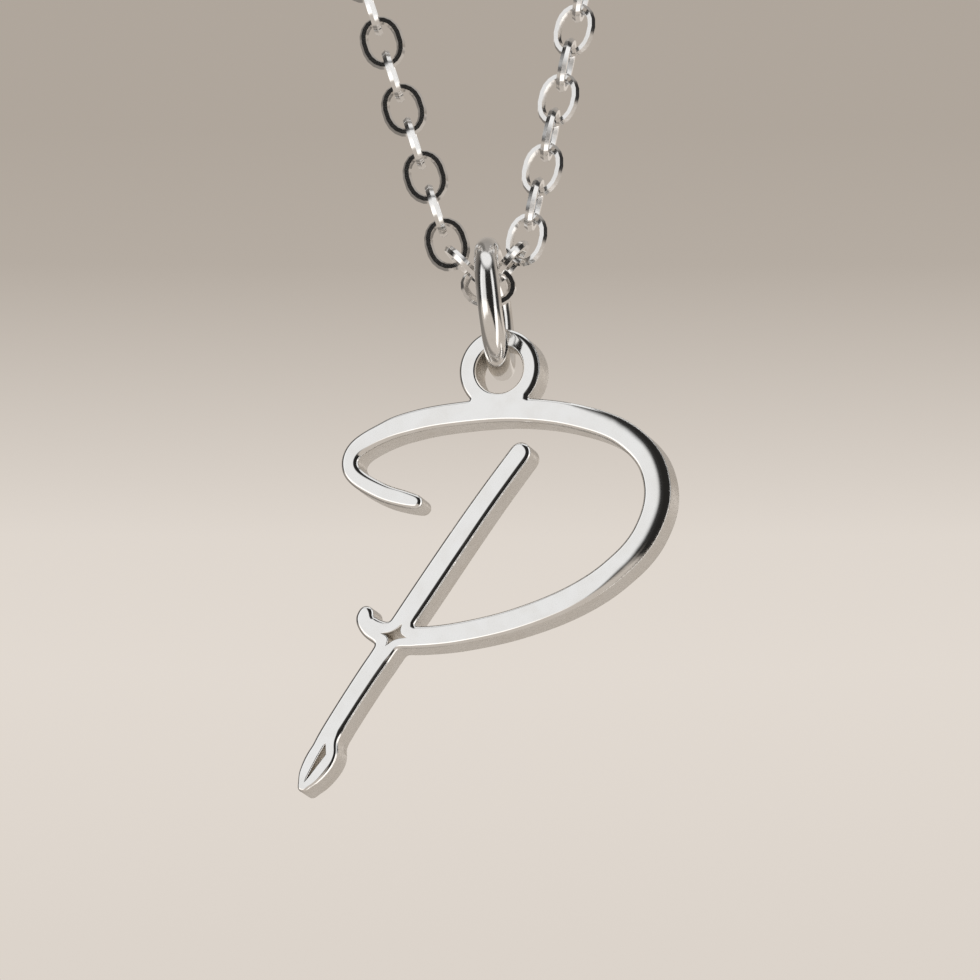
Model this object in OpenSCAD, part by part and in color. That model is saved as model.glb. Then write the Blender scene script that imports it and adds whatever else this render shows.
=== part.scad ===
// Script letter P in polished silver, hung by a thick round ring from a flat-faced cable chain.
// Frame: X to the right of the letter's face, Y to the back, Z up. The origin is the top of the closed
// chain loop, at the middle of the clasp, where the necklace hangs.

/* [Letter] */
// Width of the letter, from the foot of its stem to the side of its bowl
letter_w = 17.5; // [14:0.1:22]
// Height of the letter, from its top stroke to its foot
letter_h = 17.6; // [15:0.1:21]
// Width of the letter's widest stroke
stroke_w = 1.12; // [0.9:0.02:1.3]
// Thickness of the letter, front to back
letter_t = 1.7; // [1.3:0.05:1.9]
// Bevel on each outer edge of the letter
edge_bevel = 0.18; // [0.1:0.01:0.22]
// Turn of the letter's face towards -X on its ring
letter_turn = 9.8; // [0:0.1:12]

/* [Eyelet] */
// Width of the metal round the eyelet's hole
eyelet_band = 0.8; // [0.55:0.01:0.9]
// Room between the bail ring's wire and the side of the eyelet's hole
eyelet_play = 0.55; // [0.48:0.01:0.65]
// Depth to which the eyelet's round is sunk in the top stroke
eyelet_sink = 0.57; // [0.25:0.01:0.6]
// Gap between the bail ring's wire and the top of the eyelet's hole
eyelet_gap = 0.13; // [0.1:0.01:0.18]
// Step of the eyelet to +X from the bail ring's lowest point
eyelet_shift = 0.12; // [0:0.01:0.15]

/* [Bail ring] */
// Inner diameter of the bail ring
ring_hole_d = 4.4; // [4.2:0.05:5]
// Diameter of the bail ring's wire
ring_wire = 1.1; // [1:0.05:1.2]
// Gap between the bail ring and the chain link that it hangs on
ring_gap = 0.1; // [0.08:0.01:0.2]
// Lean of the bail ring, with its foot towards +X
ring_lean = 5.7; // [0:0.1:7]
// Step of the bail ring to +X on the middle link
ring_shift = 0.18; // [0:0.01:0.2]

/* [Chain] */
// Number of links on each side of the middle link
side_links = 118; // [80:2:118]
// Length of a link over its ends
link_l = 2.57; // [2.45:0.01:2.8]
// Width of a link over its sides
link_w = 2.0; // [1.9:0.01:2.1]
// Width of a link's wire across its face
wire_w = 0.4; // [0.36:0.01:0.42]
// Thickness of a link's wire
wire_t = 0.36; // [0.28:0.01:0.38]
// Width of the flat on a link's face
flat_w = 0.24; // [0.16:0.01:0.28]
// Gap between one link and the next
link_gap = 0.1; // [0.1:0.01:0.14]
// Angle of each run of the chain from the loop's middle line
run_angle = 15; // [11:0.5:18]
// Angle of the two links beside the middle one from the loop's middle line
knee_angle = 42; // [38:1:44]
// How far each run has dropped on the link beside the middle one
run_slack = 0.3; // [0:0.01:0.3]
// How far each link beside the middle one has dropped in it
knee_slack = 0.1; // [0:0.01:0.12]
// Turn of the middle link about the loop's middle line
middle_turn = 17; // [0:1:18]
// Lean of the whole loop, with its top towards -X
loop_lean = 2.3; // [0:0.1:3]

/* [Clasp] */
// Inner diameter of the ring at each end of the chain
end_ring_hole_d = 2.6; // [2.4:0.05:3.2]
// Diameter of the end rings' wire
end_ring_wire = 0.5; // [0.4:0.02:0.6]
// Length of the clasp's bow
clasp_l = 7.2; // [6:0.1:9]
// Width of the clasp's bow
clasp_w = 4.0; // [3.6:0.1:4.6]
// Width of the metal round the clasp's bow
clasp_band = 0.9; // [0.8:0.02:1.1]
// Thickness of the clasp's bow
clasp_t = 1.2; // [1:0.05:1.4]
// Diameter of the thumb knob on the clasp's side
knob_d = 1.1; // [0.8:0.05:1.4]
// Radius of the hole in the clasp's eye
eye_r = 0.7; // [0.6:0.02:0.8]
// Width of the metal round the hole in the clasp's eye
eye_band = 0.45; // [0.36:0.01:0.55]
// Thickness of the clasp's eye
eye_t = 0.8; // [0.6:0.05:1]
// Gap between the end rings and what they hold
clasp_gap = 0.15; // [0.12:0.01:0.2]

/* [Hidden] */
SILVER = [0.87, 0.86, 0.84];
POLISHED = [0.93, 0.93, 0.92];
ROUND_STEPS = 48;
SPLINE_STEPS = 3;
CAP_STEPS = 8;
CUT = 1;
MIRRORED = [0, 1];

// The pen strokes of the letter. Columns: place to the right of the eyelet's middle as a share of letter_w,
// drop below the top stroke's edge as a share of letter_h, width as a share of stroke_w.
// This stroke runs from the tip of the left hook over the top, round the bowl and out to the small curl.
BOWL_STROKE = [
    [-0.226, 0.2595, 0.62],
    [-0.262, 0.2485, 0.72],
    [-0.31, 0.2315, 0.74],
    [-0.365, 0.2005, 0.73],
    [-0.395, 0.1745, 0.71],
    [-0.404, 0.1515, 0.70],
    [-0.4, 0.1285, 0.72],
    [-0.385, 0.1085, 0.77],
    [-0.359, 0.0915, 0.81],
    [-0.32, 0.0735, 0.84],
    [-0.265, 0.0545, 0.93],
    [-0.16, 0.0375, 0.97],
    [0.003, 0.0315, 1.00],
    [0.133, 0.045, 1.02],
    [0.235, 0.071, 1.04],
    [0.31, 0.1015, 1.06],
    [0.363, 0.1405, 1.08],
    [0.397, 0.1815, 1.10],
    [0.4145, 0.224, 1.12],
    [0.421, 0.2685, 1.13],
    [0.4165, 0.3105, 1.12],
    [0.401, 0.3545, 1.09],
    [0.3735, 0.402, 1.06],
    [0.329, 0.4485, 1.03],
    [0.252, 0.5045, 1.01],
    [0.15, 0.5525, 1.00],
    [0.02, 0.5905, 0.97],
    [-0.11, 0.6115, 0.94],
    [-0.202, 0.6165, 0.92],
    [-0.266, 0.6115, 0.98],
    [-0.308, 0.6025, 1.01],
    [-0.343, 0.5845, 0.92],
    [-0.361, 0.5605, 0.80],
    [-0.359, 0.5455, 0.68],
];
// This one runs down the stem, from its free top end to the pointed foot.
STEM_STROKE = [
    [0.055, 0.148, 0.91],
    [-0.027, 0.2525, 0.93],
    [-0.108, 0.3615, 0.96],
    [-0.215, 0.5105, 0.98],
    [-0.278, 0.5985, 0.95],
    [-0.32, 0.6595, 0.91],
    [-0.353, 0.7045, 0.90],
    [-0.409, 0.7855, 0.89],
    [-0.457, 0.8605, 0.92],
    [-0.472, 0.9045, 1.22],
    [-0.492, 0.9365, 1.20],
    [-0.512, 0.9665, 0.93],
    [-0.526, 0.9895, 0.50],
];
// The tips of the four-pointed star that pierces the crossing, and the corners of the slit in the foot.
// Columns: place to the right as a share of letter_w, drop as a share of letter_h.
STAR_TIPS = [[-0.314, 0.6015], [-0.261, 0.5815], [-0.249, 0.6165], [-0.302, 0.6325]];
SLIT_CORNERS = [[-0.466, 0.8815], [-0.465, 0.9095], [-0.521, 0.9775], [-0.489, 0.9185]];
// How far the star's sides bow in, as a share of the way to its middle
STAR_WAIST = 0.72;

// Sizes of the eyelet and of the ring in it
hole_r = ring_wire / 2 + eyelet_play;
eyelet_r = hole_r + eyelet_band;
eyelet_rise = eyelet_r - eyelet_sink;
ring_mid_r = (ring_hole_d + ring_wire) / 2;
ring_drop = ring_hole_d / 2 - link_w / 2 - ring_gap;
hole_top_drop = sqrt(pow(ring_hole_d / 2 - eyelet_gap, 2) - pow(letter_t / 2 - edge_bevel, 2));
eyelet_room = hole_top_drop + hole_r - ring_mid_r;
hole_drop = ring_drop + ring_mid_r + sqrt(eyelet_room * eyelet_room - eyelet_shift * eyelet_shift);

// Sizes of a link: the middle of the wire at its end, the start of its round end, the middle line's radius there,
// how far past that start a neighbour's wire is drawn, and the step from link to link
link_tip = (link_l - wire_w) / 2;
link_straight = (link_l - link_w) / 2;
link_mid_r = (link_w - wire_w) / 2;
link_seat = link_w / 2 - wire_w * 1.5 - link_gap;
pitch = link_tip + link_straight + link_seat;

// The links beside the middle one, in the loop's own plane with the middle link at [0, 0]
knee_reach = flat_w / 2 * cos(knee_angle) + wire_t / 2 * sin(knee_angle);
knee_foot = [-link_straight, link_w / 2 - wire_w - link_gap - knee_reach - knee_slack];
knee_middle = knee_foot + link_tip * along(knee_angle);
run_foot = knee_middle + link_tip * along(knee_angle) + (link_seat - run_slack) * along(run_angle);
run_start = run_foot + link_straight * along(run_angle);

// The end rings, the clasp's length between their middles, and the radius of the loop's round top
end_ring_r = end_ring_hole_d / 2;
link_to_ring = link_l / 2 - wire_w + end_ring_r - clasp_gap;
ring_to_eye = end_ring_r + eye_r - clasp_gap - sag(end_ring_r, eye_t / 2);
bow_end_r = clasp_w / 2 - clasp_band;
ring_to_bow = end_ring_r + bow_end_r - clasp_gap - sag(end_ring_r, clasp_t / 2);
eye_to_bow = eye_r + clasp_l / 2;
clasp_reach = ring_to_eye + eye_to_bow + clasp_l / 2 - clasp_w / 2 + ring_to_bow;
half_clasp = clasp_reach / 2;
side_length = (side_links - 2) * pitch + link_to_ring;
rough_r = loop_radius(side_length + half_clasp);
loop_r = loop_radius(side_length + half_clasp + pow(half_clasp, 3) / (6 * rough_r * rough_r));
run_length = (loop_r * cos(run_angle) + run_start[0]) / sin(run_angle);
round_middle = run_start + run_length * along(run_angle) + loop_r * [cos(run_angle), sin(run_angle)];
loop_h = round_middle[1] + sqrt(loop_r * loop_r - half_clasp * half_clasp);
apex = [loop_h * sin(loop_lean), 0, -loop_h * cos(loop_lean)];

// A step of length 1 at an angle to the left of straight up
function along(angle) = [-sin(angle), cos(angle)];

// How far a circle's side falls back at a given distance from its middle line
function sag(radius, half) = radius - sqrt(radius * radius - half * half);

// Radius of the loop's round top, for a given length from the first link of the run to the top
function loop_radius(length) = (length - run_start[0] / sin(run_angle))
    / (1 / tan(run_angle) + (90 + run_angle) * PI / 180);

// Place and heading at a distance along the left run, counted from the first link of the run
function heading(distance) = distance <= run_length ? run_angle
    : run_angle - (distance - run_length) / loop_r * 180 / PI;
function run_place(distance) = distance <= run_length ? run_start + distance * along(run_angle)
    : round_middle - loop_r * [cos(heading(distance)), sin(heading(distance))];

// Place and heading of a link, counted from the middle one
function link_place(i) = i == 1 ? knee_middle : run_place((i - 2) * pitch);
function link_heading(i) = i == 1 ? knee_angle : heading((i - 2) * pitch);

// A smooth curve through the rows of a stroke
function spline(rows) = [
    for (i = [0 : len(rows) - 2], s = [0 : SPLINE_STEPS - 1]) between(rows, i, s / SPLINE_STEPS),
    rows[len(rows) - 1],
];
function between(rows, i, t) = let (
        a = rows[max(i - 1, 0)],
        b = rows[i],
        c = rows[i + 1],
        d = rows[min(i + 2, len(rows) - 1)]
    ) b + (c - a) * t / 2 + (a - 2.5 * b + 2 * c - d / 2) * t * t + (1.5 * b - a / 2 - 1.5 * c + d / 2) * t * t * t;

// A row's place in the letter's plane, half its width, and the way across the stroke there
function spot(row) = [row[0] * letter_w, -row[1] * letter_h];
function half_width(row) = row[2] * stroke_w / 2;
function square_to(step) = [-step[1], step[0]] / norm(step);
function across(rows, i) = square_to(spot(rows[min(i + 1, len(rows) - 1)]) - spot(rows[max(i - 1, 0)]));

// The line round a stroke, set in from its edge: down its left side, round its end, back up and round its start
function stroke_side(rows, inset, side) = [
    for (i = [0 : len(rows) - 1]) spot(rows[i]) + side * across(rows, i) * (half_width(rows[i]) - inset)
];
function stroke_cap(rows, i, inset, side) = let (from = side * across(rows, i)) [
    for (step = [1 : CAP_STEPS - 1])
        let (turn = 180 * step / CAP_STEPS, way = from * cos(turn) + [from[1], -from[0]] * sin(turn))
        spot(rows[i]) + way * (half_width(rows[i]) - inset)
];
function stroke_line(rows, inset) = concat(
    stroke_side(rows, inset, 1),
    stroke_cap(rows, len(rows) - 1, inset, 1),
    reversed(stroke_side(rows, inset, -1)),
    stroke_cap(rows, 0, inset, -1)
);
function reversed(list) = [for (i = [len(list) - 1 : -1 : 0]) list[i]];
function at_height(line, z) = [for (point = line) [point[0], point[1], z]];

// One side of the star, bowed in towards its middle
function star_side(a, b, middle) = let (waist = (a + b) / 2 * (1 - STAR_WAIST) + middle * STAR_WAIST)
    [for (s = [0 : 3]) let (t = s / 4) a * pow(1 - t, 2) + waist * 2 * t * (1 - t) + b * t * t];

// A stroke with bevelled edges: four lines round it, from its face to its back, joined by walls
module stroke(rows) {
    smooth = spline(rows);
    count = len(smooth);
    around = 2 * (count + CAP_STEPS - 1);
    face_line = stroke_line(smooth, edge_bevel);
    edge_line = stroke_line(smooth, 0);
    points = concat(
        at_height(face_line, letter_t / 2),
        at_height(edge_line, letter_t / 2 - edge_bevel),
        at_height(edge_line, edge_bevel - letter_t / 2),
        at_height(face_line, -letter_t / 2)
    );
    walls = [for (k = [0 : 2], i = [0 : around - 1]) let (next = (i + 1) % around)
        [k * around + i, (k + 1) * around + i, (k + 1) * around + next, k * around + next]];
    bands = [for (i = [0 : count - 2]) let (facing = around - CAP_STEPS - i) [i + 1, facing - 1, facing, i]];
    end_cap = [for (i = [0 : CAP_STEPS]) count - 1 + i];
    start_cap = [for (i = [CAP_STEPS : -1 : 1]) around - i, 0];
    face = concat(bands, [end_cap, start_cap]);
    back = [for (flat = face) reversed([for (i = flat) i + 3 * around])];
    polyhedron(points, concat(walls, face, back));
}

// The eyelet's round, with the same bevels
module eyelet_round() {
    translate([0, eyelet_rise]) {
        cylinder(h = letter_t - 2 * edge_bevel, r = eyelet_r, center = true, $fn = ROUND_STEPS);
        for (side = MIRRORED) mirror([0, 0, side]) translate([0, 0, letter_t / 2 - edge_bevel])
            cylinder(h = edge_bevel, r1 = eyelet_r, r2 = eyelet_r - edge_bevel, $fn = ROUND_STEPS);
    }
}

module star_hole() {
    tips = [for (tip = STAR_TIPS) spot(tip)];
    middle = (tips[0] + tips[1] + tips[2] + tips[3]) / 4;
    linear_extrude(letter_t + 2 * CUT, center = true)
        polygon([for (i = [0 : 3]) each star_side(tips[i], tips[(i + 1) % 4], middle)]);
}

module slit_hole() {
    linear_extrude(letter_t + 2 * CUT, center = true) polygon([for (corner = SLIT_CORNERS) spot(corner)]);
}

// The eyelet's bore, with a bevel at the front and the back
module eyelet_hole() {
    translate([0, eyelet_rise]) {
        cylinder(h = letter_t + 2 * CUT, r = hole_r, center = true, $fn = ROUND_STEPS);
        for (side = MIRRORED)
            mirror([0, 0, side]) translate([0, 0, letter_t / 2 - edge_bevel])
                cylinder(h = 2 * edge_bevel, r1 = hole_r, r2 = hole_r + 2 * edge_bevel, $fn = ROUND_STEPS);
    }
}

// The letter lying flat, with the top stroke's edge at y = 0 and its face up
module flat_letter() {
    difference() {
        union() {
            stroke(BOWL_STROKE);
            stroke(STEM_STROKE);
            eyelet_round();
        }
        eyelet_hole();
        star_hole();
        slit_hole();
    }
}

module letter() {
    color(POLISHED) translate(apex) rotate([0, -ring_lean, 0]) translate([ring_shift + eyelet_shift, 0, -hole_drop])
        rotate([0, ring_lean, 0]) rotate([0, 0, -letter_turn]) rotate([90, 0, 0])
            translate([0, -eyelet_rise, 0]) flat_letter();
}

// A round ring of wire with its hole along Z
module wire_ring(inner, wire) {
    rotate_extrude($fn = ROUND_STEPS) translate([(inner + wire) / 2, 0]) circle(d = wire, $fn = ROUND_STEPS / 2);
}

module bail_ring() {
    color(SILVER) translate(apex) rotate([0, -ring_lean, 0]) translate([ring_shift, 0, -ring_drop])
        rotate([0, 90, 0]) wire_ring(ring_hole_d, ring_wire);
}

// Section of a link's wire: flat on both faces, with a ridge round the outside and the inside
module wire_section() {
    polygon([for (side = [-1, 1]) each [
        [side * wire_w / 2, 0],
        [side * flat_w / 2, side * wire_t / 2],
        [-side * flat_w / 2, side * wire_t / 2],
    ]]);
}

// A link along X, with its opening along Z
module link() {
    for (side = MIRRORED) mirror([side, 0, 0]) {
        translate([link_straight, 0, 0]) rotate([0, 0, -90])
            rotate_extrude(angle = 180, $fn = ROUND_STEPS) translate([link_mid_r, 0]) wire_section();
        mirror([0, side, 0]) translate([0, link_mid_r, 0]) rotate([90, 0, 90])
            linear_extrude(2 * link_straight, center = true) wire_section();
    }
}

// Puts a piece that lies along X with its opening along Z on the left run: in the loop's plane, or across it
module on_run(place, angle, is_across) {
    translate([place[0], 0, place[1]]) rotate([0, -90 - angle, 0]) rotate([is_across ? 0 : 90, 0, 0]) children();
}

// Hangs what is placed round the middle link at the loop's top, with the loop's lean
module in_loop() {
    rotate([0, -loop_lean, 0]) translate([0, 0, -loop_h]) children();
}

module chain() {
    color(SILVER) in_loop() {
        rotate([0, 0, middle_turn]) rotate([90, 0, 0]) link();
        for (side = MIRRORED) mirror([side, 0, 0])
            for (i = [1 : side_links]) on_run(link_place(i), link_heading(i), i % 2 == 1) link();
    }
}

module end_ring() {
    on_run(run_place(side_length), heading(side_length), true) wire_ring(end_ring_hole_d, end_ring_wire);
}

module end_ring_left() {
    color(SILVER) in_loop() end_ring();
}

module end_ring_right() {
    color(SILVER) in_loop() mirror([1, 0, 0]) end_ring();
}

module stadium(length, width, thick) {
    linear_extrude(thick, center = true) square([length - width, width], center = true);
    for (side = [-1, 1]) translate([side * (length - width) / 2, 0, 0])
        cylinder(h = thick, d = width, center = true, $fn = ROUND_STEPS);
}

// The clasp, closed: a bow with the eye at its left end and the thumb knob on its top side
module clasp() {
    color(SILVER) rotate([0, -loop_lean, 0]) rotate([90, 0, 0]) translate([ring_to_eye - half_clasp, 0, 0]) {
        difference() {
            union() {
                translate([eye_to_bow, 0, 0]) stadium(clasp_l, clasp_w, clasp_t);
                cylinder(h = eye_t, r = eye_r + eye_band, center = true, $fn = ROUND_STEPS);
            }
            translate([eye_to_bow, 0, 0])
                stadium(clasp_l - 2 * clasp_band, clasp_w - 2 * clasp_band, clasp_t + 2 * CUT);
            cylinder(h = clasp_t + 2 * CUT, r = eye_r, center = true, $fn = ROUND_STEPS);
        }
        translate([eye_to_bow, clasp_w / 2, 0]) cylinder(h = clasp_t, d = knob_d, center = true, $fn = ROUND_STEPS);
    }
}

letter();
bail_ring();
chain();
end_ring_left();
end_ring_right();
clasp();
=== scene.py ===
"""Script letter P in polished silver on a round ring and a flat-faced cable chain.

Lengths named in capitals are in millimetres and come from the part's own sizes. Meshes are in metres.
The letter lies flat while it is made: x across its face, y up from the edge of its top stroke, z out of
its face.
"""

import math

import bpy
import numpy as np
from mathutils import Matrix, Vector
from mathutils.geometry import delaunay_2d_cdt


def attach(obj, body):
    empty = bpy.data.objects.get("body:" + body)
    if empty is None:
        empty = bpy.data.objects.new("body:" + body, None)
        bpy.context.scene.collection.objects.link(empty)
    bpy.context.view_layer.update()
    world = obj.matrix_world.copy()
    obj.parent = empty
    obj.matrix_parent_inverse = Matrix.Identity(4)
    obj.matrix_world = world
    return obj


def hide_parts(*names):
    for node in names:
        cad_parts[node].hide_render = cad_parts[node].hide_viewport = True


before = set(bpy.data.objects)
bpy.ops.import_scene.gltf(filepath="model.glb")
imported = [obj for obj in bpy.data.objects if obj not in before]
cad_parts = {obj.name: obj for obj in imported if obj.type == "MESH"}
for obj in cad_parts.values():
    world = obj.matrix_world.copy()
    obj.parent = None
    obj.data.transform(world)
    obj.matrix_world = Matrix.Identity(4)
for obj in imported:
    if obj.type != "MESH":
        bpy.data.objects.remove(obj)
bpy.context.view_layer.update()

MM = 0.001

# Letter
LETTER_W = 17.5
LETTER_H = 17.6
STROKE_W = 1.12
LETTER_T = 1.7
LETTER_TURN = 9.8
EYELET_BAND = 0.8
EYELET_PLAY = 0.55
EYELET_SINK = 0.57
EYELET_GAP = 0.13
EYELET_SHIFT = 0.12
EDGE_BEVEL = 0.18

# Bail ring
RING_HOLE_D = 4.4
RING_WIRE = 1.1
RING_GAP = 0.1
RING_LEAN = 5.7
RING_SHIFT = 0.18

# Chain
SIDE_LINKS = 118
LINK_L = 2.57
LINK_W = 2.0
WIRE_W = 0.4
WIRE_T = 0.36
FLAT_W = 0.24
LINK_GAP = 0.1
RUN_ANGLE = 15.0
KNEE_ANGLE = 42.0
RUN_SLACK = 0.3
KNEE_SLACK = 0.1
MIDDLE_TURN = 17.0
FACE_TWIST = -18.0
EDGE_TWIST = -2.0
LOOP_LEAN = 2.3

# Clasp
END_RING_HOLE_D = 2.6
END_RING_WIRE = 0.5
CLASP_L = 7.2
CLASP_W = 4.0
CLASP_BAND = 0.9
CLASP_T = 1.2
KNOB_D = 1.1
EYE_R = 0.7
EYE_BAND = 0.45
EYE_T = 0.8
CLASP_GAP = 0.15

# Strokes: place to the right of the eyelet's middle in letter widths, drop in letter heights, width in
# stroke widths
BOWL_STROKE = (
    (-0.226, 0.2595, 0.62), (-0.262, 0.2485, 0.72), (-0.31, 0.2315, 0.74), (-0.365, 0.2005, 0.73),
    (-0.395, 0.1745, 0.71), (-0.404, 0.1515, 0.70), (-0.4, 0.1285, 0.72), (-0.385, 0.1085, 0.77),
    (-0.359, 0.0915, 0.81), (-0.32, 0.0735, 0.84), (-0.265, 0.0545, 0.93), (-0.16, 0.0375, 0.97),
    (0.003, 0.0315, 1.00), (0.133, 0.045, 1.02), (0.235, 0.071, 1.04), (0.31, 0.1015, 1.06),
    (0.363, 0.1405, 1.08), (0.397, 0.1815, 1.10), (0.4145, 0.224, 1.12), (0.421, 0.2685, 1.13),
    (0.4165, 0.3105, 1.12), (0.401, 0.3545, 1.09), (0.3735, 0.402, 1.06), (0.329, 0.4485, 1.03),
    (0.252, 0.5045, 1.01), (0.15, 0.5525, 1.00), (0.02, 0.5905, 0.97), (-0.11, 0.6115, 0.94),
    (-0.202, 0.6165, 0.92), (-0.266, 0.6115, 0.98), (-0.308, 0.6025, 1.01), (-0.343, 0.5845, 0.92),
    (-0.361, 0.5605, 0.80), (-0.359, 0.5455, 0.68),
)
STEM_STROKE = (
    (0.055, 0.148, 0.91), (-0.027, 0.2525, 0.93), (-0.108, 0.3615, 0.96), (-0.215, 0.5105, 0.98),
    (-0.278, 0.5985, 0.95), (-0.32, 0.6595, 0.91), (-0.353, 0.7045, 0.90), (-0.409, 0.7855, 0.89),
    (-0.457, 0.8605, 0.92), (-0.472, 0.9045, 1.22), (-0.492, 0.9365, 1.20), (-0.512, 0.9665, 0.93),
    (-0.526, 0.9895, 0.50),
)
STAR_TIPS = ((-0.314, 0.6015), (-0.261, 0.5815), (-0.249, 0.6165), (-0.302, 0.6325))
STAR_WAIST = 0.72
SLIT_CORNERS = ((-0.466, 0.8815), (-0.465, 0.9095), (-0.521, 0.9775), (-0.489, 0.9185))

# Meshes: the step along an outline in millimetres, then the number of steps or rows in each form
OUTLINE_STEP = 0.09
CIRCLE_STEPS = 96
EYELET_STEPS = 120
BOW_STEPS = 48
STAR_STEPS = 10
SLIT_STEPS = 6
ROUND_ROWS = 8
WALL_ROWS = 10
STROKE_STEPS = 10
CAP_STEPS = 14
LINK_SIDES = 20
WIRE_CORNERS = 6

# How far an edge's rounding reaches in on the face, in millimetres: all round the letter, and in its holes
EDGE_REACH = 0.19
HOLE_REACH = 0.12
CUT_REACH = 0.05
# What is added on edges that face right, at the eyelet and the foot, and on the bowl's right side
RIGHT_REACH = 0.04
MARKED_REACH = 0.18
BOWL_REACH = 0.48
CLASP_REACH = 0.2
CLASP_DROP = 0.2

# Casting pit in the wall beside the slit: place, half sizes, depth and the way it sinks
PIT_PLACE = (-7.64, -15.49, LETTER_T / 2 - 0.76 * LETTER_T)
PIT_SIZE = (0.17, 0.2, 0.2)
PIT_DEPTH = 0.1
PIT_WAY = (-0.95, 0.3, 0)

# Camera: the photograph's angles, its millimetres across the frame, and how far off it stands
VIEW_AZIMUTH = 6.0
VIEW_ELEVATION = -12.9
FRAME_PIXELS = 980
PIXELS_PER_MM = 22.1
CAMERA_AWAY = 500.0
HOLE_PIXEL = (499.0, 369.0)


def turn(axis, degrees):
    return Matrix.Rotation(math.radians(degrees), 4, axis)


def shift(x, y, z):
    return Matrix.Translation((x, y, z))


def radians(*degrees):
    return [math.radians(d) for d in degrees]


# ---- places in the necklace, in millimetres

HOLE_R = RING_WIRE / 2 + EYELET_PLAY
EYELET_R = HOLE_R + EYELET_BAND
EYELET_RISE = EYELET_R - EYELET_SINK
RING_MID_R = (RING_HOLE_D + RING_WIRE) / 2
RING_DROP = RING_HOLE_D / 2 - LINK_W / 2 - RING_GAP
EYELET_REST = math.sqrt((RING_HOLE_D / 2 - EYELET_GAP) ** 2 - (LETTER_T / 2 - EDGE_BEVEL) ** 2)
EYELET_ROOM = EYELET_REST + HOLE_R - RING_MID_R
HOLE_DROP = RING_DROP + RING_MID_R + math.sqrt(EYELET_ROOM**2 - EYELET_SHIFT**2)

LINK_TIP = (LINK_L - WIRE_W) / 2
LINK_STRAIGHT = (LINK_L - LINK_W) / 2
LINK_SEAT = LINK_W / 2 - WIRE_W * 1.5 - LINK_GAP
PITCH = LINK_TIP + LINK_STRAIGHT + LINK_SEAT


def along(angle):
    """A step of length 1 at an angle in degrees to the left of straight up."""
    a = math.radians(angle)
    return np.array((-math.sin(a), math.cos(a)))


def sag(radius, half):
    """How far a circle's side falls back at a distance from its middle line."""
    return radius - math.sqrt(radius * radius - half * half)


def knee_places():
    """The middles of the links beside the lowest one, and of the first link of the run above it."""
    knee, run = radians(KNEE_ANGLE, RUN_ANGLE)
    reach = FLAT_W / 2 * math.cos(knee) + WIRE_T / 2 * math.sin(knee)
    foot = np.array((-LINK_STRAIGHT, LINK_W / 2 - WIRE_W - LINK_GAP - reach - KNEE_SLACK))
    middle = foot + LINK_TIP * along(KNEE_ANGLE)
    start = middle + LINK_TIP * along(KNEE_ANGLE) + (LINK_SEAT + LINK_STRAIGHT - RUN_SLACK) * along(RUN_ANGLE)
    return middle, start


class Loop:
    """The left half of the hanging loop: a straight run, then a round top that ends at the clasp."""

    def __init__(self):
        self.knee, self.start = knee_places()
        end_r = END_RING_HOLE_D / 2
        self.ring_to_eye = end_r + EYE_R - CLASP_GAP - sag(end_r, EYE_T / 2)
        ring_to_bow = end_r + CLASP_W / 2 - CLASP_BAND - CLASP_GAP - sag(end_r, CLASP_T / 2)
        self.eye_to_bow = EYE_R + CLASP_L / 2
        reach = self.ring_to_eye + self.eye_to_bow + CLASP_L / 2 - CLASP_W / 2 + ring_to_bow
        self.half_clasp = reach / 2
        self.length = (SIDE_LINKS - 2) * PITCH + LINK_L / 2 - WIRE_W + end_r - CLASP_GAP
        straight = self.length + self.half_clasp
        rough = self.top_radius(straight)
        self.radius = self.top_radius(straight + self.half_clasp**3 / (6 * rough * rough))
        run = math.radians(RUN_ANGLE)
        self.run = (self.radius * math.cos(run) + self.start[0]) / math.sin(run)
        outward = np.array((math.cos(run), math.sin(run)))
        self.middle = self.start + self.run * along(RUN_ANGLE) + self.radius * outward
        self.height = self.middle[1] + math.sqrt(self.radius**2 - self.half_clasp**2)

    def top_radius(self, length):
        run = math.radians(RUN_ANGLE)
        return (length - self.start[0] / math.sin(run)) / (1 / math.tan(run) + math.pi / 2 + run)

    def heading(self, distance):
        bent = max(distance - self.run, 0) / self.radius
        return RUN_ANGLE - math.degrees(bent)

    def place(self, distance):
        if distance <= self.run:
            return self.start + distance * along(RUN_ANGLE)
        a = math.radians(self.heading(distance))
        return self.middle - self.radius * np.array((math.cos(a), math.sin(a)))


loop = Loop()
HANG = turn("Y", -LOOP_LEAN) @ shift(0, 0, -loop.height)
APEX = HANG @ Vector((0, 0, 0))
ON_RING = Matrix.Translation(APEX) @ turn("Y", -RING_LEAN)
LETTER_PLACE = (
    ON_RING @ shift(RING_SHIFT + EYELET_SHIFT, 0, -HOLE_DROP) @ turn("Y", RING_LEAN) @ turn("Z", -LETTER_TURN)
    @ turn("X", 90) @ shift(0, -EYELET_RISE, 0)
)
RING_PLACE = ON_RING @ shift(RING_SHIFT, 0, -RING_DROP) @ turn("Y", 90)


def on_run(place, angle, is_across):
    """Puts a piece that lies along X with its opening along Z on the left run."""
    return shift(place[0], 0, place[1]) @ turn("Y", -90 - angle) @ turn("X", 0 if is_across else 90)


# ---- camera

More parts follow.
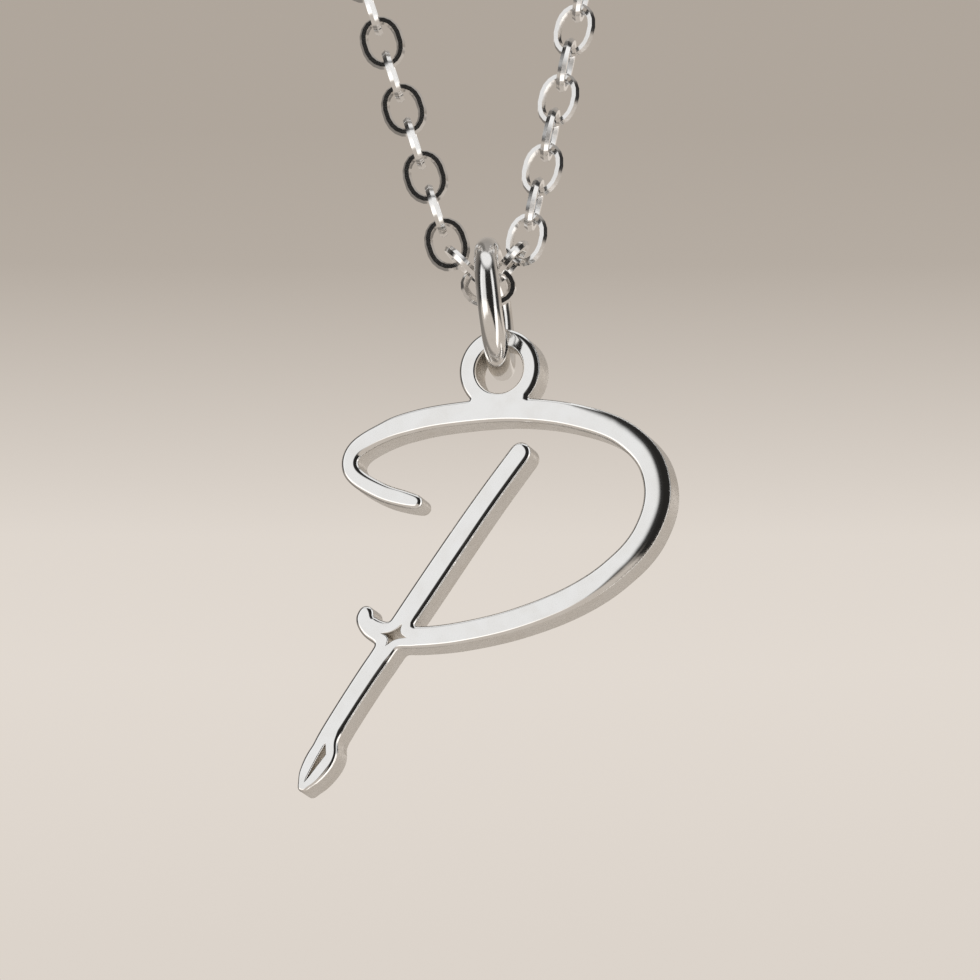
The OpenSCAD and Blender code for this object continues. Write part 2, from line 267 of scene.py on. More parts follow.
def place_camera():
    """Stands the camera so that the eyelet's hole falls on its pixel of the photograph."""
    azimuth, elevation = radians(VIEW_AZIMUTH, VIEW_ELEVATION)
    level = math.cos(elevation)
    away = Vector((math.sin(azimuth) * level, -math.cos(azimuth) * level, math.sin(elevation)))
    right = Vector((math.cos(azimuth), math.sin(azimuth), 0))
    up = away.cross(right)
    hole = LETTER_PLACE @ Vector((0, EYELET_RISE, LETTER_T / 2))
    half = FRAME_PIXELS / 2
    aim = hole - right * (HOLE_PIXEL[0] - half) / PIXELS_PER_MM - up * (half - HOLE_PIXEL[1]) / PIXELS_PER_MM
    data = bpy.data.cameras.new("camera")
    data.sensor_width = 36.0
    data.lens = data.sensor_width * CAMERA_AWAY / (FRAME_PIXELS / PIXELS_PER_MM)
    data.clip_start, data.clip_end = 0.01, 100.0
    camera = bpy.data.objects.new("camera", data)
    camera.location = (aim + away * CAMERA_AWAY) * MM
    camera.rotation_mode = "QUATERNION"
    camera.rotation_quaternion = (-away).to_track_quat("-Z", "Y")
    bpy.context.collection.objects.link(camera)
    bpy.context.scene.camera = camera


place_camera()


# ---- meshes

def add_piece(name, mesh, material, body, node):
    piece = bpy.data.objects.new(name, mesh)
    bpy.context.collection.objects.link(piece)
    if material is not None:
        mesh.materials.clear()
        mesh.materials.append(material)
    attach(piece, body)
    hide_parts(node)


def smooth_mesh(mesh, sharp):
    mesh.polygons.foreach_set("use_smooth", [True] * len(mesh.polygons))
    mesh.set_sharp_from_angle(angle=math.radians(sharp))
    mesh.update()


def spline(rows, steps):
    """A smooth curve through the rows of a stroke."""
    rows = np.array(rows)
    last = len(rows) - 1
    points = []
    for i in range(last):
        a, b, c, d = rows[max(i - 1, 0)], rows[i], rows[i + 1], rows[min(i + 2, last)]
        for t in np.arange(steps) / steps:
            bend = (a - 2.5 * b + 2 * c - d / 2) * t * t + (1.5 * b - a / 2 - 1.5 * c + d / 2) * t**3
            points.append(b + (c - a) * t / 2 + bend)
    points.append(rows[last])
    return np.array(points)


def stroke_line(rows):
    """The closed line round a stroke, in millimetres."""
    rows = spline(rows, STROKE_STEPS)
    middle = np.column_stack((rows[:, 0] * LETTER_W, -rows[:, 1] * LETTER_H))
    half = rows[:, 2] * STROKE_W / 2
    step = np.gradient(middle, axis=0)
    side = np.column_stack((-step[:, 1], step[:, 0])) / np.linalg.norm(step, axis=1)[:, None]

    def cap(i, start):
        turns = np.pi * np.arange(1, CAP_STEPS) / CAP_STEPS
        on = np.array((start[1], -start[0]))
        return [middle[i] + (start * math.cos(a) + on * math.sin(a)) * half[i] for a in turns]

    left = middle + side * half[:, None]
    right = middle - side * half[:, None]
    return np.array([*left, *cap(-1, side[-1]), *right[::-1], *cap(0, -side[0])])


def circle_line(x, y, radius, count=CIRCLE_STEPS):
    turns = np.arange(count) * 2 * np.pi / count
    return np.column_stack((x + radius * np.cos(turns), y + radius * np.sin(turns)))


def stadium_line(x, y, length, width):
    half = np.pi * np.arange(BOW_STEPS + 1) / BOW_STEPS - np.pi / 2
    right = np.column_stack((np.cos(half), np.sin(half))) * width / 2 + ((length - width) / 2, 0)
    return np.concatenate((right, -right)) + (x, y)


def star_line():
    """A four-pointed star whose sides bow in."""
    tips = np.array(STAR_TIPS) * (LETTER_W, -LETTER_H)
    middle = tips.mean(axis=0)
    line = []
    for i in range(4):
        a, b = tips[i], tips[(i + 1) % 4]
        waist = (a + b) / 2 * (1 - STAR_WAIST) + middle * STAR_WAIST
        for t in np.arange(STAR_STEPS) / STAR_STEPS:
            line.append(a * (1 - t) ** 2 + waist * 2 * t * (1 - t) + b * t * t)
    return np.array(line)


def slit_line():
    corners = np.array(SLIT_CORNERS) * (LETTER_W, -LETTER_H)
    steps = np.arange(SLIT_STEPS) / SLIT_STEPS
    return np.concatenate([corners[i] + np.outer(steps, corners[(i + 1) % 4] - corners[i]) for i in range(4)])


def signed_area(line):
    x, y = line[:, 0], line[:, 1]
    return 0.5 * float(np.sum(x * np.roll(y, -1) - np.roll(x, -1) * y))


def counterclockwise(line):
    return line if signed_area(line) > 0 else line[::-1]


def filled(outlines, holes):
    """Triangles of the outlines' union without the holes, and their points."""
    lines = [counterclockwise(np.asarray(line)) for line in (*outlines, *holes)]
    points = [Vector(p) for line in lines for p in line.tolist()]
    starts = np.cumsum([0] + [len(line) for line in lines])
    faces = [list(range(starts[i], starts[i + 1])) for i in range(len(lines))]
    points, _, triangles, sources, _, covers = delaunay_2d_cdt(points, [], faces, 1, 1e-6, True)
    solid = range(len(outlines))
    kept = [
        triangle for triangle, cover in zip(triangles, covers)
        if any(c in solid for c in cover) and all(c in solid for c in cover)
    ]
    return points, kept, sources


def union_lines(outlines):
    """The closed lines round the union of the outlines, with the metal on their left."""
    points, triangles, _ = filled(outlines, ())
    edges = {(t[i], t[(i + 1) % 3]) for t in triangles for i in range(3)}
    following = {a: b for a, b in edges if (b, a) not in edges}
    lines = []
    while following:
        start = next(iter(following))
        line, at = [], start
        while at in following:
            line.append(points[at][:])
            at = following.pop(at)
        if len(line) > 30:
            lines.append(np.array(line))
    return lines


def evened(line, step, passes=3):
    """The same closed line in even steps, with its corners just rounded."""
    closed = np.vstack((line, line[:1]))
    run = np.concatenate(((0,), np.cumsum(np.linalg.norm(np.diff(closed, axis=0), axis=1))))
    count = int(round(run[-1] / step))
    at = np.arange(count) * run[-1] / count
    even = np.column_stack([np.interp(at, run, closed[:, k]) for k in (0, 1)])
    for _ in range(passes):
        even = even / 2 + (np.roll(even, 1, axis=0) + np.roll(even, -1, axis=0)) / 4
    return even


def inward(line):
    """The way into the metal at each point of a line that has the metal on its left."""
    steps = np.roll(line, -1, axis=0) - line
    steps /= np.linalg.norm(steps, axis=1)[:, None]
    normals = np.column_stack((-steps[:, 1], steps[:, 0]))
    mean = normals + np.roll(normals, 1, axis=0)
    length = np.linalg.norm(mean, axis=1)[:, None]
    return mean / length * np.minimum(2 / length, 1.8)


def room_inside(lines):
    """The radius of the widest circle in the metal that touches each point of each line."""
    at = np.concatenate(lines)
    into = np.concatenate([inward(line) for line in lines])
    into /= np.linalg.norm(into, axis=1)[:, None]
    away = at[None] - at[:, None]
    facing = np.einsum("ijk,ik->ij", away, into)
    radius = np.where(facing > 1e-4, np.sum(away**2, axis=2) / np.maximum(2 * facing, 1e-9), 9.0)
    radius = radius.min(axis=1)
    rooms, first = [], 0
    for line in lines:
        room = radius[first:first + len(line)]
        near = np.min([np.roll(room, k) for k in range(-4, 5)], axis=0)
        for _ in range(6):
            near = near / 2 + (np.roll(near, 1) + np.roll(near, -1)) / 4
        rooms.append(near)
        first += len(line)
    return rooms


def plate_mesh(name, lines, is_pierced, reach_of, drop_of, thickness, dent=None):
    """A plate with rounded edges. Each line has the metal on its left; reach and drop size its rounding."""
    quarter = np.linspace(np.pi / 2, 0, ROUND_ROWS)
    places, pierced, wall, quads, rims = [], [], [], [], []
    for line, is_hole, room in zip(lines, is_pierced, room_inside(lines)):
        count = len(line)
        into = inward(line)
        reach = reach_of(line, is_hole, room)[:, None]
        drop = np.minimum(np.minimum(reach * 1.05, room[:, None] * 0.7), drop_of(reach))
        rows = [(reach * 1.12, 0 * drop, 0.0)]
        rows += [(reach * (1 - math.cos(a)), drop * (1 - math.sin(a)), math.cos(a)) for a in quarter]
        half = [(inset, thickness / 2 - down, face) for inset, down, face in rows]
        levels = np.linspace(1, -1, WALL_ROWS)[1:-1]
        walls = [(0 * reach, (thickness / 2 - drop) * level, 1.0) for level in levels]
        back = [(inset, -z, face) for inset, z, face in reversed(half)]
        first = len(places)
        for inset, z, on_wall in half + walls + back:
            flat = line + into * inset
            rows_z = np.broadcast_to(z, (count, 1))
            places += np.hstack((flat, rows_z)).tolist()
            wall += [on_wall] * count
            pierced += [1.0 if is_hole else 0.0] * count
        total = len(half) + len(walls) + len(back)
        for r in range(total - 1):
            for i in range(count):
                j = (i + 1) % count
                a, b = first + r * count, first + (r + 1) * count
                quads.append((a + i, b + i, b + j, a + j))
        rims.append((first, first + (total - 1) * count, count))
    faces = list(quads)
    for end, flip in ((0, False), (1, True)):
        polygons = [np.array([places[rim[end] + i][:2] for i in range(rim[2])]) for rim in rims]
        is_outer = [signed_area(p) > 0 for p in polygons]
        outer = [k for k in range(len(rims)) if is_outer[k]]
        inner = [k for k in range(len(rims)) if not is_outer[k]]
        ids = []
        for k in outer + inner:
            here = [rims[k][end] + i for i in range(rims[k][2])]
            ids += here if is_outer[k] else here[::-1]
        _, triangles, sources = filled([polygons[k] for k in outer], [polygons[k] for k in inner])
        for triangle in triangles:
            face = [ids[sources[v][0]] for v in triangle]
            faces.append(face[::-1] if flip else face)
    mesh = bpy.data.meshes.new(name)
    places = np.array(places)
    if dent is not None:
        places = dent(places, np.array(wall))
    mesh.from_pydata([Vector(p) for p in places.tolist()], [], faces)
    mesh.attributes.new("wall", "FLOAT", "POINT").data.foreach_set("value", wall)
    mesh.attributes.new("pierced", "FLOAT", "POINT").data.foreach_set("value", pierced)
    mesh.validate()
    smooth_mesh(mesh, 50)
    return mesh


def placed(mesh, matrix):
    """Moves a mesh that was made in millimetres to its place in the necklace, in metres."""
    mesh.transform(Matrix.Scale(MM, 4) @ matrix)
    mesh.update()
    return mesh


def wire_ring_mesh(name, inner, wire, around, section):
    """A ring of round wire with its hole along Z, in millimetres."""
    turns = np.arange(around) * 2 * np.pi / around
    mid = (inner + wire) / 2
    points, faces = [], []
    for a in turns:
        for b in np.arange(section) * 2 * np.pi / section:
            r = mid + wire / 2 * math.cos(b)
            points.append((r * math.cos(a), r * math.sin(a), wire / 2 * math.sin(b)))
    for i in range(around):
        for j in range(section):
            i2, j2 = (i + 1) % around, (j + 1) % section
            faces.append((i * section + j, i2 * section + j, i2 * section + j2, i * section + j2))
    mesh = bpy.data.meshes.new(name)
    mesh.from_pydata(points, [], faces)
    smooth_mesh(mesh, 60)
    return mesh


# ---- materials

def add_node(tree, kind, settings=None, inputs=None):
    made = tree.nodes.new(kind)
    for key, value in (settings or {}).items():
        setattr(made, key, value)
    for key, value in (inputs or {}).items():
        if isinstance(value, bpy.types.NodeSocket):
            tree.links.new(value, made.inputs[key])
        else:
            made.inputs[key].default_value = value
    return made


def ramp(tree, value, low, high, to_low=0.0, to_high=1.0):
    made = add_node(tree, "ShaderNodeMapRange", {"interpolation_type": "SMOOTHSTEP"}, {
        "Value": value, "From Min": low, "From Max": high, "To Min": to_low, "To Max": to_high,
    })
    return made.outputs["Result"]


def math_node(tree, operation, *values):
    return add_node(tree, "ShaderNodeMath", {"operation": operation}, dict(enumerate(values))).outputs[0]


def noise(tree, place, scale, detail, roughness):
    made = add_node(tree, "ShaderNodeTexNoise", inputs={
        "Vector": place, "Scale": scale, "Detail": detail, "Roughness": roughness})
    return made.outputs["Fac"]


def silver(name, clean, tarnish_and_shade, shine, has_cast_walls=False):
    """Polished silver: a soft cloudy tone, fine scratches and slow waves; cast walls are grainier and a
    little darker, with painted shade inside the pierced holes.
    """
    material = bpy.data.materials.new(name)
    material.use_nodes = True
    tree = material.node_tree
    tree.nodes.clear()
    place = add_node(tree, "ShaderNodeTexCoord").outputs["Object"]
    in_mm = add_node(tree, "ShaderNodeMapping", inputs={
        "Vector": place, "Scale": (1000, 1000, 1000)}).outputs[0]
    cloud = noise(tree, in_mm, 0.9, 4.0, 0.6)
    brushed = add_node(tree, "ShaderNodeMapping", inputs={
        "Vector": place, "Scale": (2400, 5200, 38000), "Rotation": radians(8, 11, 24)}).outputs[0]
    scratch = noise(tree, brushed, 1.0, 2.0, 0.7)
    waves = noise(tree, in_mm, 0.45, 1.0, 0.4)
    tone = ramp(tree, cloud, 0.35, 0.8)
    rough = ramp(tree, scratch, 0.3, 0.75, shine, shine * 1.8)
    bump = add_node(tree, "ShaderNodeBump", inputs={
        "Height": waves, "Strength": 0.35, "Distance": 0.00006}).outputs[0]
    bump = add_node(tree, "ShaderNodeBump", inputs={
        "Height": scratch, "Strength": 0.12, "Distance": 0.000004, "Normal": bump}).outputs[0]
    if has_cast_walls:
        wall = add_node(tree, "ShaderNodeAttribute", {"attribute_name": "wall"}).outputs["Fac"]
        pierced = add_node(tree, "ShaderNodeAttribute", {"attribute_name": "pierced"}).outputs["Fac"]
        on_wall = ramp(tree, wall, 0.8, 1.0)
        # Mask of the walls inside the pierced holes, where shade is painted into the colour
        hole_shade_mask = math_node(tree, "MULTIPLY", on_wall, pierced)
        grain = noise(tree, in_mm, 7.5, 6.0, 0.65)
        pores = add_node(tree, "ShaderNodeTexVoronoi", inputs={"Vector": in_mm, "Scale": 5.0})
        pore = ramp(tree, pores.outputs["Distance"], 0.05, 0.22)
        height = math_node(tree, "ADD", grain, math_node(tree, "MULTIPLY", pore, 0.35))
        height = math_node(tree, "MULTIPLY", height, on_wall)
        bump = add_node(tree, "ShaderNodeBump", inputs={
            "Height": height, "Strength": 0.35, "Distance": 0.00005, "Normal": bump}).outputs[0]
        grainy = ramp(tree, grain, 0.3, 0.7, 0.24, 0.42)
        rough = add_node(tree, "ShaderNodeMix", inputs={
            "Factor": on_wall, "A": rough, "B": grainy}).outputs["Result"]
        # Painted shade: inside the pierced holes the wall colour is pushed past the tarnish tone, darker and
        # browner, broken up by the grain
        painted_hole_shade = ramp(tree, grain, 0.35, 0.7)
        tone = add_node(tree, "ShaderNodeMix", inputs={
            "Factor": hole_shade_mask, "A": tone, "B": math_node(tree, "ADD", painted_hole_shade, 1.6)}).outputs["Result"]
        # Every wall, outside and in the holes, is made a little darker than the face
        tone = math_node(tree, "ADD", tone, math_node(tree, "MULTIPLY", on_wall, 0.9))
    colour = add_node(tree, "ShaderNodeMix", {"data_type": "RGBA", "clamp_factor": False}, {
        0: tone, 6: (*clean, 1), 7: (*tarnish_and_shade, 1)}).outputs[2]
    surface = add_node(tree, "ShaderNodeBsdfPrincipled", inputs={
        "Base Color": colour, "Roughness": rough, "Normal": bump, "Metallic": 1.0})
    output = add_node(tree, "ShaderNodeOutputMaterial")
    tree.links.new(surface.outputs[0], output.inputs[0])
    return material


LETTER_SILVER = silver(
    "script_letter_silver", (0.955, 0.95, 0.94), (0.90, 0.885, 0.86), 0.05, has_cast_walls=True)
RING_SILVER = silver("round_ring_silver", (0.93, 0.92, 0.905), (0.87, 0.85, 0.82), 0.1)
CHAIN_SILVER = silver("cable_chain_silver", (0.93, 0.92, 0.91), (0.86, 0.845, 0.82), 0.10)
CLASP_SILVER = silver("closed_clasp_silver", (0.93, 0.92, 0.91), (0.86, 0.845, 0.82), 0.10)


# ---- letter

def letter_reach(line, is_hole, room):
    """How far the rounding reaches in on the face: narrow in the holes, wide on the sides that face right."""
    if is_hole:
        return np.full(len(line), HOLE_REACH if len(line) == CIRCLE_STEPS else CUT_REACH)
    x, y = line[:, 0], line[:, 1]
    out = -inward(line)
    faces_right = np.clip((out[:, 0] - 0.2) / 0.4, 0, 1)
    on_bowl = np.clip((x - 0.18 * LETTER_W) / 2.8, 0, 1)
    on_bowl = on_bowl * np.clip((out[:, 0] + 0.4 * out[:, 1]) / 0.5, 0, 1)
    on_eyelet = np.clip((y + 0.1) / 0.4, 0, 1)
    on_foot = np.exp(-((y + 0.905 * LETTER_H) / 0.6) ** 2)
    marked = RIGHT_REACH + MARKED_REACH * np.maximum(on_eyelet, on_foot)
    reach = EDGE_REACH + faces_right * marked + BOWL_REACH * on_bowl
    for _ in range(8):
        reach = reach / 2 + (np.roll(reach, 1) + np.roll(reach, -1)) / 4
    return np.minimum(reach, room * (0.66 + 0.44 * on_bowl))


def letter_drop(reach):
    """How far the rounding reaches down the wall: a wide rounding is a flat one."""
    return np.clip(0.30 - 0.6 * reach, 0.15, 0.2)


def casting_pit(places, wall):
    """A shallow pit in the cast wall beside the slit."""
    away = (places - PIT_PLACE) / PIT_SIZE
    depth = PIT_DEPTH * np.exp(-np.sum(away**2, axis=1)) * (wall > 0.9)
    return places + depth[:, None] * PIT_WAY


def make_letter():
    eyelet = circle_line(0, EYELET_RISE, EYELET_R, EYELET_STEPS)
    strokes = stroke_line(BOWL_STROKE), stroke_line(STEM_STROKE)
    lines = [evened(line, OUTLINE_STEP) for line in union_lines((*strokes, eyelet))]
    holes = [circle_line(0, EYELET_RISE, HOLE_R), star_line(), slit_line()]
    lines += [counterclockwise(hole)[::-1] for hole in holes]
    is_pierced = [False] * (len(lines) - len(holes)) + [True] * len(holes)
    mesh = plate_mesh("letter", lines, is_pierced, letter_reach, letter_drop, LETTER_T, casting_pit)
    add_piece("script_letter", placed(mesh, LETTER_PLACE), LETTER_SILVER, "charm", "letter")


# ---- bail ring

def make_bail_ring():
    mesh = placed(wire_ring_mesh("bail_ring", RING_HOLE_D, RING_WIRE, 160, 48), RING_PLACE)
    add_piece("round_bail_ring", mesh, RING_SILVER, "bail", "bail_ring")


# ---- chain

def link_tree():
    """Makes one flat-faced oval link from its sizes, and sets one at each point by the point's own turn."""
    tree = bpy.data.node_groups.new("flat_faced_links", "GeometryNodeTree")
    face = tree.interface
    face.new_socket("Points", in_out="INPUT", socket_type="NodeSocketGeometry")
    for name in ("Link length", "Link width", "Wire width", "Wire thickness"):
        face.new_socket(name, in_out="INPUT", socket_type="NodeSocketFloat")
    face.new_socket("Material", in_out="INPUT", socket_type="NodeSocketMaterial")
    face.new_socket("Chain", in_out="OUTPUT", socket_type="NodeSocketGeometry")
    given = add_node(tree, "NodeGroupInput").outputs

    def scaled(value, factor):
        return math_node(tree, "MULTIPLY", value, factor)

    bend = scaled(math_node(tree, "SUBTRACT", given["Link width"], given["Wire width"]), 0.5)
    straight = scaled(math_node(tree, "SUBTRACT", given["Link length"], given["Link width"]), 0.5)
    rounded = add_node(tree, "GeometryNodeCurvePrimitiveCircle", inputs={
        "Resolution": LINK_SIDES, "Radius": scaled(bend, 1 / math.cos(math.pi / LINK_SIDES))}).outputs[0]
    rounded = add_node(tree, "GeometryNodeTransform", inputs={
        "Geometry": rounded, "Rotation": (0, 0, math.pi / LINK_SIDES)}).outputs[0]
    position = add_node(tree, "GeometryNodeInputPosition").outputs[0]
    across = add_node(tree, "ShaderNodeSeparateXYZ", inputs={0: position}).outputs[0]
    share = math_node(tree, "DIVIDE", math_node(tree, "ABSOLUTE", across), bend)
    side = math_node(tree, "SIGN", across)
    push = math_node(tree, "MULTIPLY", side, math_node(tree, "POWER", share, 0.5))
    push = math_node(tree, "MULTIPLY", push, straight)
    offset = add_node(tree, "ShaderNodeCombineXYZ", inputs={0: push}).outputs[0]
    oval = add_node(tree, "GeometryNodeSetPosition", inputs={
        "Geometry": rounded, "Offset": offset}).outputs[0]
    oval = add_node(tree, "GeometryNodeSetCurveNormal", {"mode": "Z_UP"}, {"Curve": oval}).outputs[0]
    section = add_node(tree, "GeometryNodeCurvePrimitiveCircle", inputs={
        "Resolution": WIRE_CORNERS, "Radius": 1.0}).outputs[0]
    shape = add_node(tree, "ShaderNodeCombineXYZ", inputs={
        0: scaled(given["Wire width"], 0.5),
        1: scaled(given["Wire thickness"], 0.5 / math.sin(math.pi / 3)),
        2: 1.0}).outputs[0]
    section = add_node(tree, "GeometryNodeTransform", inputs={
        "Geometry": section, "Scale": shape}).outputs[0]
    link = add_node(tree, "GeometryNodeCurveToMesh", inputs={
        "Curve": oval, "Profile Curve": section}).outputs[0]
    facing = add_node(tree, "GeometryNodeInputNamedAttribute", {"data_type": "FLOAT_VECTOR"}, {
        "Name": "facing"}).outputs[0]
    rotation = add_node(tree, "FunctionNodeEulerToRotation", inputs={0: facing}).outputs[0]
    points = add_node(tree, "GeometryNodeMeshToPoints", inputs={"Mesh": given["Points"]}).outputs[0]
    links = add_node(tree, "GeometryNodeInstanceOnPoints", inputs={
        "Points": points, "Instance": link, "Rotation": rotation}).outputs[0]
    whole = add_node(tree, "GeometryNodeRealizeInstances", inputs={0: links}).outputs[0]
    whole = add_node(tree, "GeometryNodeSetMaterial", inputs={
        "Geometry": whole, "Material": given["Material"]}).outputs[0]
    output = add_node(tree, "NodeGroupOutput")
    tree.links.new(whole, output.inputs[0])
    return tree


def socket_of(tree, name):
    sockets = (item for item in tree.interface.items_tree if item.in_out == "INPUT")
    return next(item.identifier for item in sockets if item.name == name)


def link_places():
    """Each link's place and turn, as a matrix in millimetres: the lowest link, then both runs from it."""
    yield HANG @ turn("Z", MIDDLE_TURN) @ turn("X", 90)
    for i in range(1, SIDE_LINKS + 1):
        distance = (i - 2) * PITCH
        place, angle = (loop.knee, KNEE_ANGLE) if i == 1 else (loop.place(distance), loop.heading(distance))
        yield HANG @ on_run(place, angle, i % 2 == 1)
        twist = (1 - i / SIDE_LINKS) * (FACE_TWIST if i % 2 == 0 else EDGE_TWIST) if i > 1 else 0.0
        yield HANG @ on_run((-place[0], place[1]), -angle, i % 2 == 1) @ turn("X", twist)


def make_chain():
    matrices = list(link_places())
    points = bpy.data.meshes.new("link_places")
    points.from_pydata([m.translation * MM for m in matrices], [], [])
    facing = points.attributes.new("facing", "FLOAT_VECTOR", "POINT")
    facing.data.foreach_set("vector", [v for m in matrices for v in m.to_euler()])
    holder = bpy.data.objects.new("link_places", points)
    bpy.context.collection.objects.link(holder)
    tree = link_tree()
    modifier = holder.modifiers.new("links", "NODES")
    modifier.node_group = tree
    sizes = {"Link length": LINK_L, "Link width": LINK_W, "Wire width": WIRE_W, "Wire thickness": WIRE_T}
    for name, size in sizes.items():
        modifier[socket_of(tree, name)] = size * MM
    modifier[socket_of(tree, "Material")] = CHAIN_SILVER
    graph = bpy.context.evaluated_depsgraph_get()
    mesh = bpy.data.meshes.new_from_object(holder.evaluated_get(graph))
    holder.modifiers.remove(modifier)
    bpy.data.objects.remove(holder)
    mesh.name = "chain_links"
    smooth_mesh(mesh, 55)
    add_piece("cable_chain", mesh, None, "necklace", "chain")


# ---- clasp

def make_clasp():
    for side, node in ((1, "end_ring_left"), (-1, "end_ring_right")):
        place = loop.place(loop.length)
        at = HANG @ on_run((side * place[0], place[1]), side * loop.heading(loop.length), True)
        mesh = placed(wire_ring_mesh(node, END_RING_HOLE_D, END_RING_WIRE, 64, 20), at)
        add_piece("round_" + node, mesh, CLASP_SILVER, "necklace", node)
    x = loop.eye_to_bow
    solids = (
        stadium_line(x, 0, CLASP_L, CLASP_W),
        circle_line(0, 0, EYE_R + EYE_BAND),
        circle_line(x, CLASP_W / 2, KNOB_D / 2, 48),
    )
    holes = (stadium_line(x, 0, CLASP_L - 2 * CLASP_BAND, CLASP_W - 2 * CLASP_BAND), circle_line(0, 0, EYE_R))
    lines = [evened(line, OUTLINE_STEP, 1) for line in union_lines(solids)]
    lines += [evened(counterclockwise(hole)[::-1], OUTLINE_STEP, 0) for hole in holes]

    def reach(line, is_hole, room):
        return np.minimum(CLASP_REACH, room * 0.66)

    mesh = plate_mesh("clasp", lines, [False] * len(lines), reach, lambda reach: CLASP_DROP, CLASP_T)
    eye = np.empty(len(mesh.vertices) * 3)
    mesh.vertices.foreach_get("co", eye)
    eye = eye.reshape(-1, 3)
    step_up = np.clip((eye[:, 0] - 0.55) / 0.9, 0, 1)
    eye[:, 2] *= (EYE_T + (CLASP_T - EYE_T) * step_up) / CLASP_T
    mesh.vertices.foreach_set("co", eye.ravel())
    at = turn("Y", -LOOP_LEAN) @ turn("X", 90) @ shift(loop.ring_to_eye - loop.half_clasp, 0, 0)
    add_piece("closed_clasp", placed(mesh, at), CLASP_SILVER, "necklace", "clasp")


# ---- light and floor

def direction_window(tree, azimuth, elevation, middle, half, low, high, soft):
    """1 inside a patch of the sky given by its azimuth and elevation in degrees, with soft edges."""
    off = math_node(tree, "ABSOLUTE", math_node(tree, "SUBTRACT", azimuth, middle))
    across = ramp(tree, off, half - soft / 2, half + soft / 2, 1.0, 0.0)
    up = ramp(tree, elevation, low - soft / 2, low + soft / 2)
    down = ramp(tree, elevation, high - soft / 2, high + soft / 2, 1.0, 0.0)
    return math_node(tree, "MULTIPLY", across, math_node(tree, "MULTIPLY", up, down))


SOFTBOXES = (
    # azimuth of its middle, half width, lowest, highest, softness, strength
    (-43.5, 25.5, -20, 50, 8, 0.80),
    (-58, 9, -20, 50, 14, 0.18),
    (58, 12, -65, 50, 6, 0.92),
    (0, 100, 56, 92, 12, 0.85),
)


BACKDROP = (
    # elevation, colour
    (-90, (0.54, 0.49, 0.44)), (2, (0.54, 0.49, 0.44)), (10, (0.71, 0.65, 0.59)), (12.3, (0.76, 0.70, 0.64)),
    (14.5, (0.43, 0.38, 0.33)), (24, (0.46, 0.42, 0.38)), (60, (0.34, 0.32, 0.30)),
)
# Tones of the room in front, of the dark flag beside the camera, and of the dim part behind on the left
ROOM_TONE = (0.03, 0.029, 0.028, 1)
FLAG_TONE = (0.02, 0.019, 0.018, 1)
DIM_TONE = (0.13, 0.12, 0.11, 1)

FLOOR_Z = -0.9
FLOOR_R = 20.0


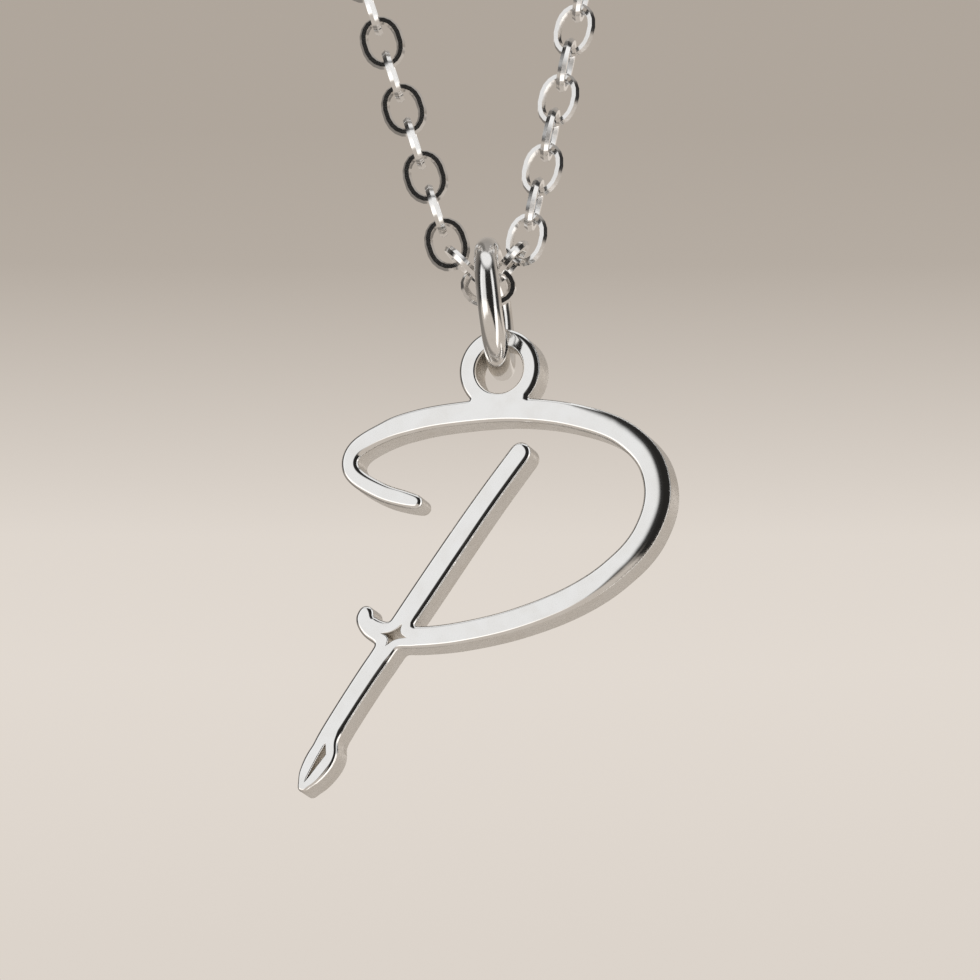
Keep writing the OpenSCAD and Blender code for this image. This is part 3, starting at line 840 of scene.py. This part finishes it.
def make_studio():
    """A room of light given by direction alone: backdrop behind, dark room in front, softboxes in it."""
    world = bpy.data.worlds.new("studio")
    bpy.context.scene.world = world
    world.use_nodes = True
    tree = world.node_tree
    tree.nodes.clear()
    way = add_node(tree, "ShaderNodeTexCoord").outputs["Generated"]
    parts = add_node(tree, "ShaderNodeSeparateXYZ", inputs={0: way}).outputs
    forward = math_node(tree, "MULTIPLY", parts[1], -1.0)
    azimuth = math_node(tree, "MULTIPLY", math_node(tree, "ARCTAN2", parts[0], forward), 180 / math.pi)
    elevation = math_node(tree, "MULTIPLY", math_node(tree, "ARCSINE", parts[2]), 180 / math.pi)
    backdrop = add_node(tree, "ShaderNodeValToRGB", inputs={
        0: math_node(tree, "DIVIDE", math_node(tree, "ADD", elevation, 90.0), 180.0)})
    backdrop.color_ramp.interpolation = "EASE"
    elements = backdrop.color_ramp.elements
    while len(elements) < len(BACKDROP):
        elements.new(0.5)
    for element, (at, colour) in zip(elements, BACKDROP):
        element.position = (at + 90) / 180
        element.color = (*colour, 1)
    behind = ramp(tree, math_node(tree, "ABSOLUTE", azimuth), 95, 125)
    low = ramp(tree, elevation, -6, 4, 1.0, 0.0)
    shown = math_node(tree, "MAXIMUM", behind, low)
    room = add_node(tree, "ShaderNodeMix", {"data_type": "RGBA"}, {
        0: shown, 6: ROOM_TONE, 7: backdrop.outputs[0]}).outputs[2]
    slanted = math_node(tree, "ADD", elevation, math_node(tree, "MULTIPLY", azimuth, 0.72))
    aside = math_node(tree, "ABSOLUTE", math_node(tree, "SUBTRACT", azimuth, 18.0))
    flag = math_node(tree, "MULTIPLY", ramp(tree, aside, 24, 31, 1.0, 0.0), ramp(tree, slanted, -14, -7))
    room = add_node(tree, "ShaderNodeMix", {"data_type": "RGBA"}, {
        0: flag, 6: room, 7: FLAG_TONE}).outputs[2]
    left = math_node(tree, "ABSOLUTE", math_node(tree, "ADD", azimuth, 122.0))
    room = add_node(tree, "ShaderNodeMix", {"data_type": "RGBA"}, {
        0: ramp(tree, left, 24, 38, 0.75, 0.0), 6: room, 7: DIM_TONE}).outputs[2]
    lights = None
    for middle, half, lowest, highest, soft, strength in SOFTBOXES:
        patch = direction_window(tree, azimuth, elevation, middle, half, lowest, highest, soft)
        patch = math_node(tree, "MULTIPLY", patch, strength)
        lights = patch if lights is None else math_node(tree, "ADD", lights, patch)
    glow = add_node(tree, "ShaderNodeCombineXYZ", inputs={0: lights, 1: lights, 2: lights}).outputs[0]
    total = add_node(tree, "ShaderNodeVectorMath", {"operation": "ADD"}, {0: room, 1: glow}).outputs[0]
    background = add_node(tree, "ShaderNodeBackground", inputs={"Color": total, "Strength": 1.0})
    output = add_node(tree, "ShaderNodeOutputWorld")
    tree.links.new(background.outputs[0], output.inputs[0])


def make_floor():
    """A plain pale floor, hidden from the silver's reflections, which see the room's light instead."""
    mesh = bpy.data.meshes.new("floor")
    line = circle_line(0, 0, FLOOR_R, 64).tolist()
    mesh.from_pydata([(x, y, FLOOR_Z) for x, y in line], [], [list(range(len(line)))])
    floor = bpy.data.objects.new("floor", mesh)
    floor.visible_glossy = False
    bpy.context.collection.objects.link(floor)
    material = bpy.data.materials.new("pale_floor")
    material.use_nodes = True
    tree = material.node_tree
    surface = tree.nodes["Principled BSDF"]
    surface.inputs["Roughness"].default_value = 0.9
    place = add_node(tree, "ShaderNodeTexCoord").outputs["Object"]
    cloud = add_node(tree, "ShaderNodeTexNoise", inputs={"Vector": place, "Scale": 1.5, "Detail": 3.0})
    colour = add_node(tree, "ShaderNodeMix", {"data_type": "RGBA"}, {
        0: cloud.outputs["Fac"], 6: (0.80, 0.76, 0.72, 1), 7: (0.84, 0.80, 0.76, 1)}).outputs[2]
    tree.links.new(colour, surface.inputs["Base Color"])
    tree.links.new(colour, surface.inputs["Emission Color"])
    surface.inputs["Emission Strength"].default_value = 0.2
    mesh.materials.append(material)


make_letter()
make_bail_ring()
make_chain()
make_clasp()
make_studio()
make_floor()

bpy.context.scene.view_settings.view_transform = "Standard"
